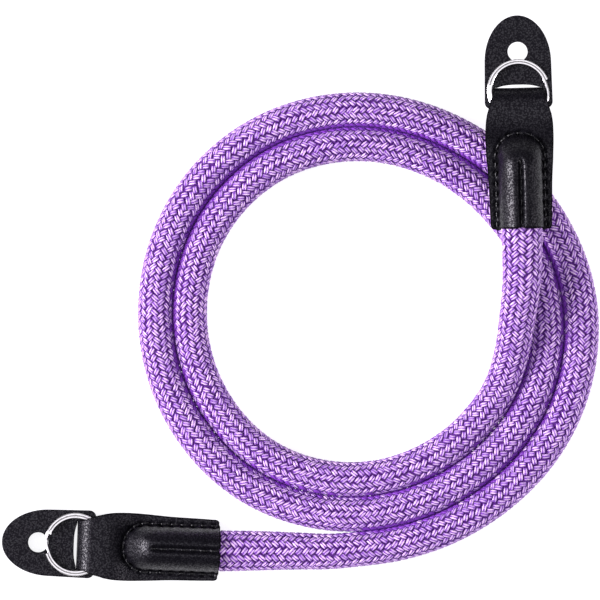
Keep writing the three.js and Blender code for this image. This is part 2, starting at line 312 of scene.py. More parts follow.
def maths(operation, *values, **settings):
    """The result of one sum on numbers, or on vectors where its first value is one."""
    tree = next(value.tree for value in values if isinstance(value, Result))
    kind = "ShaderNodeVectorMath" if is_vector(values[0]) else "ShaderNodeMath"
    return add(tree, kind, dict(enumerate(values)), operation=operation, **settings)


def fill(tree, sockets, values):
    """Links results to sockets, and sets plain values on them."""
    for name, value in values.items():
        if isinstance(value, Result):
            tree.links.new(value.socket, sockets[name])
        else:
            sockets[name].default_value = value


def add(tree, kind, inputs=None, **settings):
    """The first result of a new node, with its settings made and its inputs filled."""
    node = tree.nodes.new(kind)
    for name, value in settings.items():
        setattr(node, name, value)
    fill(tree, node.inputs, inputs or {})
    return Result(next(socket for socket in node.outputs if socket.enabled))


def node_group(name, kind, **inputs):
    """A new tree and the node that gives its inputs, each named with its default or its kind."""
    tree = bpy.data.node_groups.new(name, kind)
    for title, default in inputs.items():
        number = {int: "Int", float: "Float"}.get(type(default))
        made = tree.interface.new_socket(
            title.replace("_", " "), in_out="INPUT", socket_type=f"NodeSocket{number or default}")
        if number:
            made.default_value = default
    return tree, Result(tree.nodes.new("NodeGroupInput").outputs[0])


def finished(tree, kind, **results):
    """A tree with these results as its outputs."""
    for title in results:
        tree.interface.new_socket(title, in_out="OUTPUT", socket_type=f"NodeSocket{kind}")
    fill(tree, tree.nodes.new("NodeGroupOutput").inputs, results)
    return tree


def in_material(tree, given, geometry):
    """A geometry tree that ends with its pieces made real, in the material that it is given."""
    real = add(tree, "GeometryNodeRealizeInstances", {"Geometry": geometry})
    dressed = add(tree, "GeometryNodeSetMaterial", {"Geometry": real, "Material": given["Material"]})
    return finished(tree, "Geometry", Geometry=dressed)


def plain_mesh(holder):
    """The plain mesh that a new object comes to. The object is taken away again."""
    bpy.context.scene.collection.objects.link(holder)
    graph = bpy.context.evaluated_depsgraph_get()
    made = bpy.data.meshes.new_from_object(
        holder.evaluated_get(graph), preserve_all_data_layers=True, depsgraph=graph)
    made.name = holder.name
    bpy.data.objects.remove(holder)
    return made


def grown(name, mesh, tree, settings, **values):
    """The plain mesh that a geometry tree grows on a mesh. The tree's inputs come from the values,
    or else from the settings of the same names."""
    holder = bpy.data.objects.new(name, mesh)
    modifier = holder.modifiers.new(tree.name, "NODES")
    modifier.node_group = tree
    for item in tree.interface.items_tree:
        key = item.name.replace(" ", "_")
        value = values.get(key, getattr(settings, key.lower(), None))
        if item.in_out == "INPUT" and value is not None:
            modifier[item.identifier] = value
    return plain_mesh(holder)


# ---------------------------------------------------------------- shared shader effects

# The braid's map is a square of tiles, and each float lies on a tile of its own shade. The top rows are for
# the floats that lie in the crevice between two turns, which the material gives a flat painted shade.
MAP_TILES = 16
CREVICE_SHADE_ROWS = 2


def effect(tree, name, maker, **inputs):
    """A shared effect's node in a material's tree. The effect's own tree is made once."""
    group = bpy.data.node_groups.get(name) or maker(name)
    return add(tree, "ShaderNodeGroup", inputs, node_tree=group)


def pebble_grain(name):
    """Leather grain: the height of its pebbles, how far up a spot lies, and a slow change of tone."""
    tree, given = node_group(name, "ShaderNodeTree", Size=0.0004)
    spot = add(tree, "ShaderNodeTexCoord")["Object"]
    fineness = 1.0 / given["Size"]
    bent = add(tree, "ShaderNodeTexNoise", {"Vector": spot, "Scale": fineness * 0.5})["Color"]
    middle_grey = (0.5, 0.5, 0.5)
    from_middle = add(tree, "ShaderNodeTexVoronoi", {
        "Vector": spot + (bent - middle_grey) * (given["Size"] * 0.9), "Scale": fineness, "Randomness": 0.9,
    }, feature="SMOOTH_F1")
    crown = 1.0 - from_middle
    pores = add(tree, "ShaderNodeTexNoise", {"Vector": spot, "Scale": fineness * 2.3, "Detail": 3.0})
    tone = add(tree, "ShaderNodeTexNoise", {"Vector": spot, "Scale": 160.0, "Detail": 3.0})
    return finished(
        tree, "Float", Height=crown * 0.75 + pores * 0.22, Depth=crown.ranged(0.35, 0.85), Tone=tone)


def yarn_lie(name):
    """The lie of the yarns in one strand: how near a spot is to a yarn's crown and to the strand's rim, a
    chance tone for each strand, and whether the strand lies in the crevice between two turns. The material
    paints a highlight on the crowns and paints shade at the rims and in the crevices."""
    tree, given = node_group(
        name, "ShaderNodeTree", Map="Vector", Tiles=float(MAP_TILES), Yarns=2.0)
    on_tiles = given["Map"] * given["Tiles"]
    tile = maths("FLOOR", on_tiles)
    spot = add(tree, "ShaderNodeSeparateXYZ", {0: on_tiles - tile})
    shade = add(tree, "ShaderNodeTexWhiteNoise", {"Vector": tile + (0.5, 0.5, 0.5)})
    tile_row = add(tree, "ShaderNodeSeparateXYZ", {0: tile})["Y"]
    drawn_out = add(tree, "ShaderNodeCombineXYZ", {0: spot["X"] * 1.6, 1: spot["Y"] * 13.0, 2: shade * 40.0})
    fibres = add(tree, "ShaderNodeTexNoise", {"Vector": drawn_out, "Scale": 1.0, "Detail": 2.0})
    # The yarns run along the strand and lean a little across it.
    across = spot["Y"] + spot["X"] * ((shade - 0.5) * 0.2)
    waved = across + (fibres * 0.12 - 0.06)
    groove = maths("COSINE", waved * (given["Yarns"] * (2 * math.pi)))
    to_end, to_side = (maths("ABSOLUTE", spot[axis] - 0.5) for axis in "XY")
    # The crown mask places the painted highlight, and it also sets the roughness and the bump.
    fade = to_end.ranged(0.05, 0.40, -0.15, -1.30)
    crown = maths("ADD", fade, groove * -0.75 + fibres * 2.0, use_clamp=True)
    # The rim mask places painted shade where strands dive between their neighbours.
    rim = maths("MAXIMUM", to_end.ranged(0.27, 0.38), to_side.ranged(0.36, 0.46))
    # Floats on the top rows lie in a crevice between two turns and get a flat painted shade.
    in_crevice = maths("GREATER_THAN", tile_row, MAP_TILES - CREVICE_SHADE_ROWS - 0.5)
    return finished(tree, "Float", Crown=crown, Rim=rim, Shade=shade, Pinched=in_crevice)


# ---------------------------------------------------------------- materials


def finish(maker, sizes):
    """The material of a maker's name. It is made once, with what the maker gives on its shader."""
    name = maker.__name__
    if name not in bpy.data.materials:
        material = bpy.data.materials.new(name)
        material.use_nodes = True
        tree = material.node_tree
        fill(tree, tree.nodes["Principled BSDF"].inputs, maker(tree, sizes))
    return bpy.data.materials[name]


def toned(colour_chosen, strength=1.0):
    """A settings colour made darker or brighter."""
    return tuple(min(1.0, c * strength) for c in colour_chosen[:3]) + (1.0,)


def mixed(share, first, second):
    """One colour laid over another by a share."""
    return add(share.tree, "ShaderNodeMix", {0: share, 6: first, 7: second}, data_type="RGBA")


def bumped(height, depth):
    """The normal of a surface whose height goes up to that depth."""
    return add(height.tree, "ShaderNodeBump", {"Height": height, "Distance": depth, "Strength": 1.0})


def speckled(tree, fineness, detail):
    """Noise all through a piece."""
    spot = add(tree, "ShaderNodeTexCoord")["Object"]
    return add(tree, "ShaderNodeTexNoise", {"Vector": spot, "Scale": fineness, "Detail": detail})


def braided_yarn(tree, rope):
    """Glossy polyester yarn, with a painted highlight on each strand's crown and painted shade where it
    dives between its neighbours and where it lies between two turns.
    """
    lie = effect(tree, "Yarn Lie", yarn_lie, Map=add(tree, "ShaderNodeUVMap", uv_map=BAKE_MAP))
    # Painted highlight on the crowns, a chance tone for each strand, painted shade at the rims, then flat
    # painted shade in the crevices between turns.
    yarn = mixed(lie["Crown"], toned(rope.yarn_colour), toned(rope.crown_colour))
    yarn = mixed(lie["Shade"].ranged(0.0, 1.0, 0.0, 0.55, "LINEAR"), yarn, toned(rope.yarn_colour))
    yarn = mixed(lie["Rim"], yarn, toned(rope.seam_colour))
    return {
        "Base Color": mixed(lie["Pinched"], yarn, toned(rope.pinched_colour)),
        "Roughness": lie["Crown"].ranged(0.0, 1.0, 0.62, 0.30, "LINEAR"),
        "Normal": bumped(lie["Crown"], 0.00014),
        "Specular IOR Level": 0.42,
        "Sheen Weight": 0.06, "Sheen Roughness": 0.45, "Sheen Tint": rgb(232, 212, 250),
    }


def core_yarn(tree, rope):
    """The dark yarn under the braid."""
    fuzz = speckled(tree, 2600.0, 2.0)
    return {
        "Base Color": mixed(fuzz, toned(rope.core_colour, 0.7), toned(rope.core_colour)),
        "Roughness": fuzz.ranged(0.0, 1.0, 0.95, 0.8, "LINEAR"),
        "Normal": bumped(fuzz, 0.0001),
        "Specular IOR Level": 0.2,
    }


def grained_leather(tree, leather):
    """Fine black leather with a finish that shines where its pebbles stand up."""
    grain = effect(tree, "Pebble Grain", pebble_grain, Size=leather.grain_size)
    raised = mixed(grain["Tone"], toned(leather.face_colour, 0.75), toned(leather.face_colour))
    duller, shinier = leather.roughness + 0.07, leather.roughness - 0.05
    return {
        "Base Color": mixed(grain["Depth"], toned(leather.face_colour, 0.55), raised),
        "Roughness": grain["Tone"].ranged(0.3, 0.7, duller, shinier),
        "Normal": bumped(grain["Height"], leather.grain_depth),
        "Specular IOR Level": 0.09, "Specular Tint": rgb(246, 243, 255),
        "Coat Weight": grain["Depth"].ranged(0.25, 0.95, 0.0, 0.60),
        "Coat Roughness": leather.roughness, "Coat Tint": rgb(250, 248, 255),
    }


def inked_edge(tree, leather):
    """The cut and inked edge of the leather, with its fibres."""
    fibres = effect(tree, "Pebble Grain", pebble_grain, Size=leather.grain_size * 0.6)
    worn = fibres["Tone"].ranged(0.45, 0.75)
    return {
        "Base Color": mixed(worn, toned(leather.edge_colour), toned(leather.edge_colour, 1.8)),
        "Roughness": fibres["Depth"].ranged(0.0, 1.0, 0.85, 0.65),
        "Normal": bumped(fibres["Height"], leather.grain_depth),
        "Specular IOR Level": 0.03,
    }


def waxed_thread(tree, stitch):
    """Waxed thread with the turns of its twist."""
    stitch_map = add(tree, "ShaderNodeUVMap", uv_map=BAKE_MAP)
    twist = add(tree, "ShaderNodeTexWave", {
        "Vector": stitch_map, "Scale": 1.6, "Distortion": 0.6, "Detail": 1.0,
    }, wave_type="BANDS", bands_direction="DIAGONAL")["Fac"]
    return {
        "Base Color": mixed(twist, toned(stitch.thread_colour), toned(stitch.thread_colour, 2.6)),
        "Roughness": twist.ranged(0.0, 1.0, 0.5, 0.25),
        "Normal": bumped(twist, 0.00006),
        "Specular IOR Level": 0.5,
    }


def polished_nickel(tree, ring):
    """Polished nickel with fine rubbing marks."""
    rubbed = speckled(tree, 900.0, 4.0)
    smoother, rougher = ring.roughness - 0.03, ring.roughness + 0.03
    return {
        "Base Color": mixed(rubbed.ranged(0.4, 0.7), toned(ring.colour), toned(ring.colour, 0.82)),
        "Roughness": rubbed.ranged(0.35, 0.75, smoother, rougher),
        "Normal": bumped(rubbed, 0.000002),
        "Metallic": 1.0,
    }


def pale_paper(tree, stage):
    """Smooth pale paper on a light table."""
    paper = mixed(speckled(tree, 60.0, 4.0), toned(stage.floor_colour, 0.985), toned(stage.floor_colour))
    return {
        "Base Color": paper, "Roughness": 0.9, "Specular IOR Level": 0.1,
        "Emission Color": paper, "Emission Strength": 2.4,
    }


# ---------------------------------------------------------------- curves and meshes


def smooth_table(places, values, at):
    """A smooth curve through a table's rows, read at one place or many."""
    places, values = np.asarray(places, float), np.asarray(values, float)
    slopes = np.gradient(values, places)
    slopes[1:-1] = (values[2:] - values[:-2]) / (places[2:] - places[:-2])
    row = np.clip(np.searchsorted(places, at, side="right") - 1, 0, len(places) - 2)
    step = places[row + 1] - places[row]
    t = (at - places[row]) / step
    return (values[row] * (2 * t**3 - 3 * t**2 + 1) + slopes[row] * step * (t**3 - 2 * t**2 + t)
            + values[row + 1] * (3 * t**2 - 2 * t**3) + slopes[row + 1] * step * (t**3 - t**2))


def smooth_step(value, low, high):
    """0 below low, 1 above high and smooth between."""
    t = np.clip((np.asarray(value, float) - low) / (high - low), 0, 1)
    return t * t * (3 - 2 * t)


def centripetal_curve(points, steps=12):
    """Points close together on the centripetal Catmull-Rom curve through some points."""
    points = np.asarray(points, float)
    points = np.vstack([2 * points[0] - points[1], points, 2 * points[-1] - points[-2]])
    gaps = np.sqrt(np.linalg.norm(np.diff(points, axis=0), axis=1))
    t = np.linspace(0, 1, steps, endpoint=False)[:, None]
    made = []
    for k in range(1, len(points) - 2):
        before, start, end, after = points[k - 1:k + 3]
        gap0, gap1, gap2 = gaps[k - 1:k + 2]
        leaving = ((start - before) / gap0 - (end - before) / (gap0 + gap1) + (end - start) / gap1) * gap1
        arriving = ((end - start) / gap1 - (after - start) / (gap1 + gap2) + (after - end) / gap2) * gap1
        made.append(start * (2 * t**3 - 3 * t**2 + 1) + leaving * (t**3 - 2 * t**2 + t)
                    + end * (3 * t**2 - 2 * t**3) + arriving * (t**3 - t**2))
    return np.vstack([*made, points[-2][None]])


def along_line(line, gone, count):
    """A line with that many points, evenly apart by how far each of its old points has gone."""
    places = np.linspace(0, gone[-1], count)
    return np.stack([np.interp(places, gone, axis) for axis in line.T], axis=1)


def evenly_spaced(points, spacing):
    """The same line with its points an even distance apart."""
    points = np.asarray(points, float)
    gone = np.concatenate([[0], np.cumsum(np.linalg.norm(np.diff(points, axis=0), axis=1))])
    return along_line(points, gone, max(2, round(gone[-1] / spacing) + 1))


def line_length(points):
    """The length of a line of points."""
    return float(np.linalg.norm(np.diff(points, axis=0), axis=1).sum())


def grid_faces(rows, columns, closed=False):
    """The faces of a grid of points. A closed grid's last column joins its first."""
    faces = []
    for i in range(rows - 1):
        for j in range(columns if closed else columns - 1):
            here, after = i * columns + j, i * columns + (j + 1) % columns
            faces.append((here, after, after + columns, here + columns))
    return faces


def turned_over(faces):
    """The same four-sided faces, seen from their other side."""
    return [(a, d, c, b) for a, b, c, d in faces]


def new_object(name, mesh):
    """An object at the origin that shows a mesh."""
    made = bpy.data.objects.new(name, mesh)
    bpy.context.scene.collection.objects.link(made)
    return made


def new_mesh(name, points, faces, materials, smooth=True):
    """A mesh of points and faces, with its materials."""
    mesh = bpy.data.meshes.new(name)
    mesh.from_pydata([tuple(map(float, p)) for p in points], [], faces)
    for material in materials:
        mesh.materials.append(material)
    if smooth:
        mesh.shade_smooth()
    return mesh


def put_on_map(mesh, spots):
    """Gives a mesh its map, with each point's spot on it."""
    layer = mesh.uv_layers.new(name=BAKE_MAP)
    for loop in mesh.loops:
        layer.data[loop.index].uv = spots[loop.vertex_index]


def turn_outwards(mesh):
    """Makes the faces of a closed mesh point outwards."""
    work = bmesh.new()
    work.from_mesh(mesh)
    bmesh.ops.recalc_face_normals(work, faces=work.faces)
    if work.calc_volume(signed=True) < 0:
        bmesh.ops.reverse_faces(work, faces=work.faces)
    work.to_mesh(mesh)
    work.free()


def waviness(point, size):
    """Gentle unevenness of about that size, from -1 to 1."""
    return noise.noise(Vector(point) / size)


# ---------------------------------------------------------------- rope

CORE_SIDES = 24
BRAID_PIECES = 4
# How far the braid reaches into the leather.
BRAID_TUCKED_IN = 0.0025
# Points of the route, each way from a float, that are its own stretch of rope and not another turn.
OWN_STRETCH = 40


def end_matrix(end):
    """Carries an end piece's own frame to where it lies."""
    turn = Matrix.Rotation(math.radians(end["bearing"]), 3, "Z")
    turn = turn @ Matrix.Rotation(math.radians(-end["pitch"]), 3, "Y")
    reach = turn @ Vector((END_LENGTH, 0, 0))
    fold = Vector((end["exit"][0] - reach.x, end["exit"][1] - reach.y, end["fold_height"]))
    return Matrix.Translation(fold) @ turn.to_4x4()


def carried(matrix, points):
    """Points carried by a matrix."""
    matrix = np.array(matrix)
    return np.asarray(points, float) @ matrix[:3, :3].T + matrix[:3, 3]


def coil_points():
    """The coil's turns on the floor."""
    turned = np.arange(COIL_FIRST, COIL_LAST + 1, COIL_STEP)
    rows = [*FULL_TURNS["turned"], *(t + 360 for t in FULL_TURNS["turned"]), *LAST_TURN["turned"]]
    radii = [*FULL_TURNS["first"], *FULL_TURNS["second"], *LAST_TURN["third"]]
    radius = smooth_table(rows, radii, turned)
    angle = np.radians(-turned)
    return np.stack([
        COIL_CENTRE[0] + radius * np.cos(angle),
        COIL_CENTRE[1] + radius * np.sin(angle),
        np.full(len(turned), COIL_HEIGHT),
    ], axis=1)


def rope_inside(end):
    """The straight stretch of rope inside an end piece, from its cut end outwards."""
    along = END_LENGTH - ROPE_INSIDE * np.array([1, 0.5, 0])
    return carried(end_matrix(end), [(x, 0, ROPE_HEIGHT) for x in along])


def rope_route():
    """The rope's centreline from inside end B to inside end A, a point at each step."""
    to_b, to_a = rope_inside(ENDS["end_b"]), rope_inside(ENDS["end_a"])[::-1]
    points = np.vstack([to_b, DOWN_FROM_B, coil_points(), ALONG_TO_A, to_a])
    return evenly_spaced(centripetal_curve(points), ROUTE_STEP)


def make_core(rope, route, material):
    """The tube under the braid, pressed flat inside the leather."""
    tangents = np.gradient(route, axis=0)
    tangents /= np.linalg.norm(tangents, axis=1)[:, None]
    across = np.cross((0, 0, 1), tangents)
    across /= np.linalg.norm(across, axis=1)[:, None]
    upwards = np.cross(tangents, across)
    gone = np.linspace(0, line_length(route), len(route))
    from_end = np.minimum(gone, gone[-1] - gone)
    pressed = 1 - smooth_step(from_end, rope.pressed_length, rope.pressed_length + rope.relax_length)
    wide = rope.core_radius * (rope.core_wide + (rope.pressed_wide - rope.core_wide) * pressed)
    high = rope.core_radius * (rope.lying_high + (rope.pressed_high - rope.lying_high) * pressed)
    points = []
    for k in range(0, len(route), 2):
        for j in range(CORE_SIDES):
            angle = 2 * math.pi * j / CORE_SIDES
            sideways = across[k] * wide[k] * math.cos(angle)
            points.append(route[k] + sideways + upwards[k] * high[k] * math.sin(angle))
    rings = len(points) // CORE_SIDES
    first_end = tuple(range(CORE_SIDES))
    last_end = tuple((rings - 1) * CORE_SIDES + j for j in reversed(range(CORE_SIDES)))
    faces = [*grid_faces(rings, CORE_SIDES, closed=True), first_end, last_end]
    mesh = new_mesh("rope_core", points, faces, [material])
    turn_outwards(mesh)
    return new_object("rope_core", mesh)


def float_shape(rope):
    """One float of a strand, two yarns side by side, lying flat along X with its crown at Z = 0."""
    along = (-1, -0.86, -0.7, -0.4, 0, 0.4, 0.7, 0.86, 1)
    across = (-1, -0.68, -0.34, 0, 0.34, 0.68, 1)
    points, spots = [], []
    for u in along:
        for v in across:
            groove = rope.yarn_groove if v == 0 else 0
            drop = rope.float_drop * abs(u) ** 4 + rope.float_side * abs(v) ** 4 + groove
            narrowing = 1 - 0.06 * u * u
            points.append((u * rope.float_length / 2, v * narrowing * rope.float_width / 2, -drop))
            spots.append((0.5 + 0.47 * u, 0.5 + 0.47 * v))
    mesh = new_mesh("strand_float", points, turned_over(grid_faces(len(along), len(across))), [])
    put_on_map(mesh, spots)
    return new_object("strand_float", mesh)


def braid_tree():
    """A tree that lays floats out flat in two crossing lays and wraps them round a route."""
    tree, given = node_group(
        "Braided Cover", "GeometryNodeTree", Geometry="Geometry", Float="Object", Carriers=16,
        First_Row=0, Rows=100, Start=0.018, Cell_Length=0.002, Radius=0.005, Wander=0.05,
        Lying_Wide=1.0, Lying_High=1.0, Pressed_Wide=1.1, Pressed_High=0.9,
        Pressed_Length=0.02, Relax_Length=0.02, Seed=7, Material="Material")
    route = add(tree, "GeometryNodeMeshToCurve", {"Mesh": given["Geometry"]})
    route = add(tree, "GeometryNodeSetCurveNormal", {"Curve": route}, mode="Z_UP")
    shape = add(tree, "GeometryNodeObjectInfo", {"Object": given["Float"]})["Geometry"]

    # Flat: X runs along the rope, Y round it, and Z = 0 is the rope's outside.
    cell_round = given["Radius"] * (2 * math.pi) / given["Carriers"]
    lay_angle = maths("ARCTAN2", cell_round, given["Cell Length"])
    # A strand goes over two and under two, so one lay's floats fill every other column round the rope.
    columns = given["Carriers"] / 2.0
    index = add(tree, "GeometryNodeInputIndex")
    column = maths("MODULO", index, columns)
    row = maths("FLOOR", index / columns) + given["First Row"]
    cell = row * given["Carriers"] + column
    both = add(tree, "GeometryNodeJoinGeometry")
    for lay, turned in ((1, -1.0), (0, 1.0)):
        lean, longer, higher, onwards, sideways = (
            given["Wander"] * add(tree, "FunctionNodeRandomValue", {
                "Min": -1.0, "Max": 1.0, "ID": cell, "Seed": given["Seed"] + (10.0 * lay + draw),
            }, data_type="FLOAT")
            for draw in range(5)
        )
        along = row + 0.5 * lay + onwards * 0.6
        around = column * 2.0 + 1.0 * lay + sideways
        points = add(tree, "GeometryNodePoints", {
            "Count": given["Rows"] * columns,
            "Position": add(tree, "ShaderNodeCombineXYZ", {
                "X": along * given["Cell Length"] + given["Start"], "Y": around * cell_round}),
        })
        placed = add(tree, "GeometryNodeInstanceOnPoints", {
            "Points": points, "Instance": shape,
            "Rotation": add(tree, "ShaderNodeCombineXYZ", {"Z": lay_angle * turned + lean}),
            "Scale": add(tree, "ShaderNodeCombineXYZ", {"X": 1.0 + longer, "Y": 1.0, "Z": 1.0 + higher}),
        })
        tile = add(tree, "FunctionNodeRandomValue", {
            "Min": 0, "Max": MAP_TILES * (MAP_TILES - CREVICE_SHADE_ROWS) - 1,
            "ID": index, "Seed": given["Seed"] + (30.0 + lay),
        }, data_type="INT")
        tiled = add(tree, "GeometryNodeStoreNamedAttribute", {
            "Geometry": placed, "Name": "tile", "Value": tile,
        }, data_type="INT", domain="INSTANCE")
        tree.links.new(tiled.socket, both.socket.node.inputs[0])

    # Real, because each corner of a float goes its own way: its map moves to the float's tile.
    flat = add(tree, "GeometryNodeRealizeInstances", {"Geometry": both})
    number = add(tree, "GeometryNodeInputNamedAttribute", {"Name": "tile"}, data_type="INT")
    corner = add(tree, "GeometryNodeInputNamedAttribute", {"Name": BAKE_MAP}, data_type="FLOAT_VECTOR")
    tile_at = add(tree, "ShaderNodeCombineXYZ", {
        "X": maths("MODULO", number, float(MAP_TILES)),
        "Y": maths("FLOOR", number / float(MAP_TILES)),
    })
    mapped = add(tree, "GeometryNodeStoreNamedAttribute", {
        "Geometry": flat, "Name": BAKE_MAP, "Value": (corner + tile_at) * (1 / MAP_TILES),
    }, data_type="FLOAT2", domain="CORNER")
    mapped = add(tree, "GeometryNodeRemoveAttribute", {"Geometry": mapped, "Name": "tile"})

    # Wrapped: each point goes to its place along the route and round it.
    spot = add(tree, "ShaderNodeSeparateXYZ", {0: add(tree, "GeometryNodeInputPosition")})
    line = add(tree, "GeometryNodeSampleCurve", {"Curves": route, "Length": spot["X"]}, mode="LENGTH")
    angle = spot["Y"] / given["Radius"]
    radius = given["Radius"] + spot["Z"]
    total = add(tree, "GeometryNodeCurveLength", {"Curve": route})
    from_end = maths("MINIMUM", spot["X"], total - spot["X"])
    pressed = given["Pressed Length"]
    relaxed = pressed + given["Relax Length"]
    wide = from_end.ranged(pressed, relaxed, given["Pressed Wide"], given["Lying Wide"])
    high = from_end.ranged(pressed, relaxed, given["Pressed High"], given["Lying High"])
    over = maths("CROSS_PRODUCT", line["Normal"], line["Tangent"])
    sideways = line["Normal"] * (maths("COSINE", angle) * radius * wide)
    upwards = over * (maths("SINE", angle) * radius * high)
    wrapped = add(tree, "GeometryNodeSetPosition", {
        "Geometry": mapped, "Position": line["Position"] + (sideways + upwards),
    })
    return in_material(tree, given, wrapped)


def darken_pinched(rope, route, shape, mesh):
    """Moves the map of each float that lies in the crevice between two turns up to the rows for such floats,
    where it gets painted crevice shade.
    """
    points = np.empty(len(mesh.vertices) * 3, np.float32)
    mesh.vertices.foreach_get("co", points)
    points = points.reshape(-1, len(shape.data.vertices), 3)
    crowns = points[:, len(shape.data.vertices) // 2]
    away = np.linalg.norm(crowns[:, None] - route[None], axis=2)
    from_own = np.abs(np.arange(len(route)) - away.argmin(axis=1)[:, None])
    another = np.where(from_own > OWN_STRETCH, away, 1.0).min(axis=1)
    layer = mesh.uv_layers[BAKE_MAP]
    spots = np.empty(len(mesh.loops) * 2, np.float32)
    layer.uv.foreach_get("vector", spots)
    spots = spots.reshape(len(points), -1, 2)
    row = np.floor(spots[:, :, 1].mean(axis=1) * MAP_TILES)
    moved = np.where(another < rope.pinched_reach, MAP_TILES - CREVICE_SHADE_ROWS + row % CREVICE_SHADE_ROWS - row, 0)
    spots[:, :, 1] += moved[:, None] / MAP_TILES
    layer.uv.foreach_set("vector", spots.ravel())


def make_braid(rope, route, material):
    """The braided cover, in a few pieces along the rope."""
    shape = float_shape(rope)
    tree = braid_tree()
    start = ROPE_INSIDE - BRAID_TUCKED_IN
    rows = int((line_length(route) - 2 * start) / rope.cell_length)
    line = bpy.data.meshes.new("rope_route")
    line.from_pydata([tuple(p) for p in route], [(k, k + 1) for k in range(len(route) - 1)], [])
    made = []
    for piece in range(BRAID_PIECES):
        first = round(rows * piece / BRAID_PIECES)
        count = round(rows * (piece + 1) / BRAID_PIECES) - first
        name = f"rope_braid_{piece + 1}"
        mesh = grown(
            name, line, tree, rope, Float=shape, First_Row=first, Rows=count,
            Start=start + rope.cell_length / 2, Material=material)
        darken_pinched(rope, route, shape, mesh)
        made.append(new_object(name, mesh))
    bpy.data.objects.remove(shape)
    return made


# ---------------------------------------------------------------- leather end pieces

# The fold's height and roundings, where its slope down to the flat front layer starts and ends,
# that layer's height, and the rounding of the corners at the mouth.
FOLD_TOP = 0.00725
FOLD_ROUND = 0.0052
HEEL_ROUND = 0.0017
FOLD_SLOPE = (0.0080, 0.0210)
FRONT_TOP = 0.0028
MOUTH_CORNER = 0.0012
# The dome's foot, and how square its arch and how steep its nose are.
DOME_FOOT = 0.0009
DOME_SQUARENESS = 2.3
DOME_STEEPNESS = 2.2
# Points across the strip, and the size and height of the leather's waves.
COLUMNS = 85
WAVE_SIZE, WAVE_DEPTH = 4.5 * MM, 0.07 * MM
# How far the seams stay from the mouth.
SEAM_MARGIN = 0.0011


def half_width_at(along):
    """Half the end piece's width, with its corners rounded at the mouth."""
    half = smooth_table(END_OUTLINE["along"], END_OUTLINE["half_width"], along)
    into_corner = np.clip(np.asarray(along) - (END_LENGTH - MOUTH_CORNER), 0, MOUTH_CORNER)
    return half - MOUTH_CORNER + np.sqrt(MOUTH_CORNER**2 - into_corner**2)


def spread(section, crowd):
    """A section's line with a point for each column, closer together where crowd is greater."""
    steps = np.linalg.norm(np.diff(section, axis=0), axis=1)
    middle = (section[1:] + section[:-1]) / 2
    gone = np.concatenate([[0], np.cumsum(steps * crowd(middle[:, 0]))])
    return along_line(section, gone, COLUMNS)


def front_section(leather, along):
    """The front layer's outside across the end piece: flange, foot, dome and groove."""
    half = float(half_width_at(along))
    base = FRONT_TOP + (FOLD_TOP - FRONT_TOP) * (1 - float(smooth_step(along, *FOLD_SLOPE)))
    short_of_full = max(0.0, leather.dome_full - along) / (leather.dome_full - leather.dome_nose)
    climb = math.sqrt(max(0.0, 1 - short_of_full**2))
    foot = DOME_FOOT * climb
    width = (leather.dome_half_width - 0.0002) * climb
    short_of_top = max(0.0, leather.dome_top - along) / (leather.dome_top - leather.dome_nose)
    rise = (FRONT_TOP + leather.dome_rise - base) * (1 - short_of_top**DOME_STEEPNESS) - foot
    rise = max(rise, 0.02 * MM)
    if climb < 0.05:
        flat = np.stack([np.linspace(-half, half, 200), np.full(200, base)], axis=1)
        return spread(flat, np.ones_like)
    turn = np.linspace(0, math.pi / 2, 12)
    fillet = np.stack([-(width + foot) + foot * np.sin(turn), base + foot * (1 - np.cos(turn))], axis=1)
    sweep = np.linspace(0, math.pi, 161)
    arch = np.stack([
        -width * np.sign(np.cos(sweep)) * np.abs(np.cos(sweep)) ** (2 / DOME_SQUARENESS),
        base + foot + rise * np.abs(np.sin(sweep)) ** (2 / DOME_SQUARENESS),
    ], axis=1)
    section = np.vstack([[(-half, base)], fillet, arch[1:-1], (fillet * (-1, 1))[::-1], [(half, base)]])

    def crowd(across):
        near_groove = np.exp(-((across / 0.0022) ** 2))
        near_foot = np.exp(-(((np.abs(across) - width) / 0.0012) ** 2))
        return 1 + 1.2 * near_groove + 0.8 * near_foot

    return spread(evenly_spaced(section, 0.05 * MM), crowd)


def groove_depth_at(leather, along, across):
    """How far the groove down the dome's middle sinks."""
    begun = smooth_step(along, leather.groove_from - 0.001, leather.groove_from + 0.0015)
    from_middle = np.abs(across) / leather.groove_half_width
    lips = 0.12 * np.exp(-((from_middle - 2.3) ** 2))
    return leather.groove_depth * begun * (np.exp(-(from_middle**2)) - lips)


def front_stations(leather):
    """Places along the front layer, closer together where its shape turns."""
    turn = np.linspace(0, math.pi / 2, 20)
    return np.concatenate([
        np.arange(FOLD_ROUND, 0.0095, 0.7 * MM),
        np.arange(0.0095, leather.dome_nose - 0.0002, 0.35 * MM),
        leather.dome_full - (leather.dome_full - leather.dome_nose) * np.cos(turn),
        np.arange(leather.dome_full + 0.3 * MM, END_LENGTH - MOUTH_CORNER, 0.3 * MM),
    ])


def mouth_stations(inset):
    """Places round the rounded corners at the mouth, up to the cut edge."""
    return END_LENGTH - inset - (MOUTH_CORNER - inset) * (1 - np.sin(np.linspace(0, math.pi / 2, 5)))


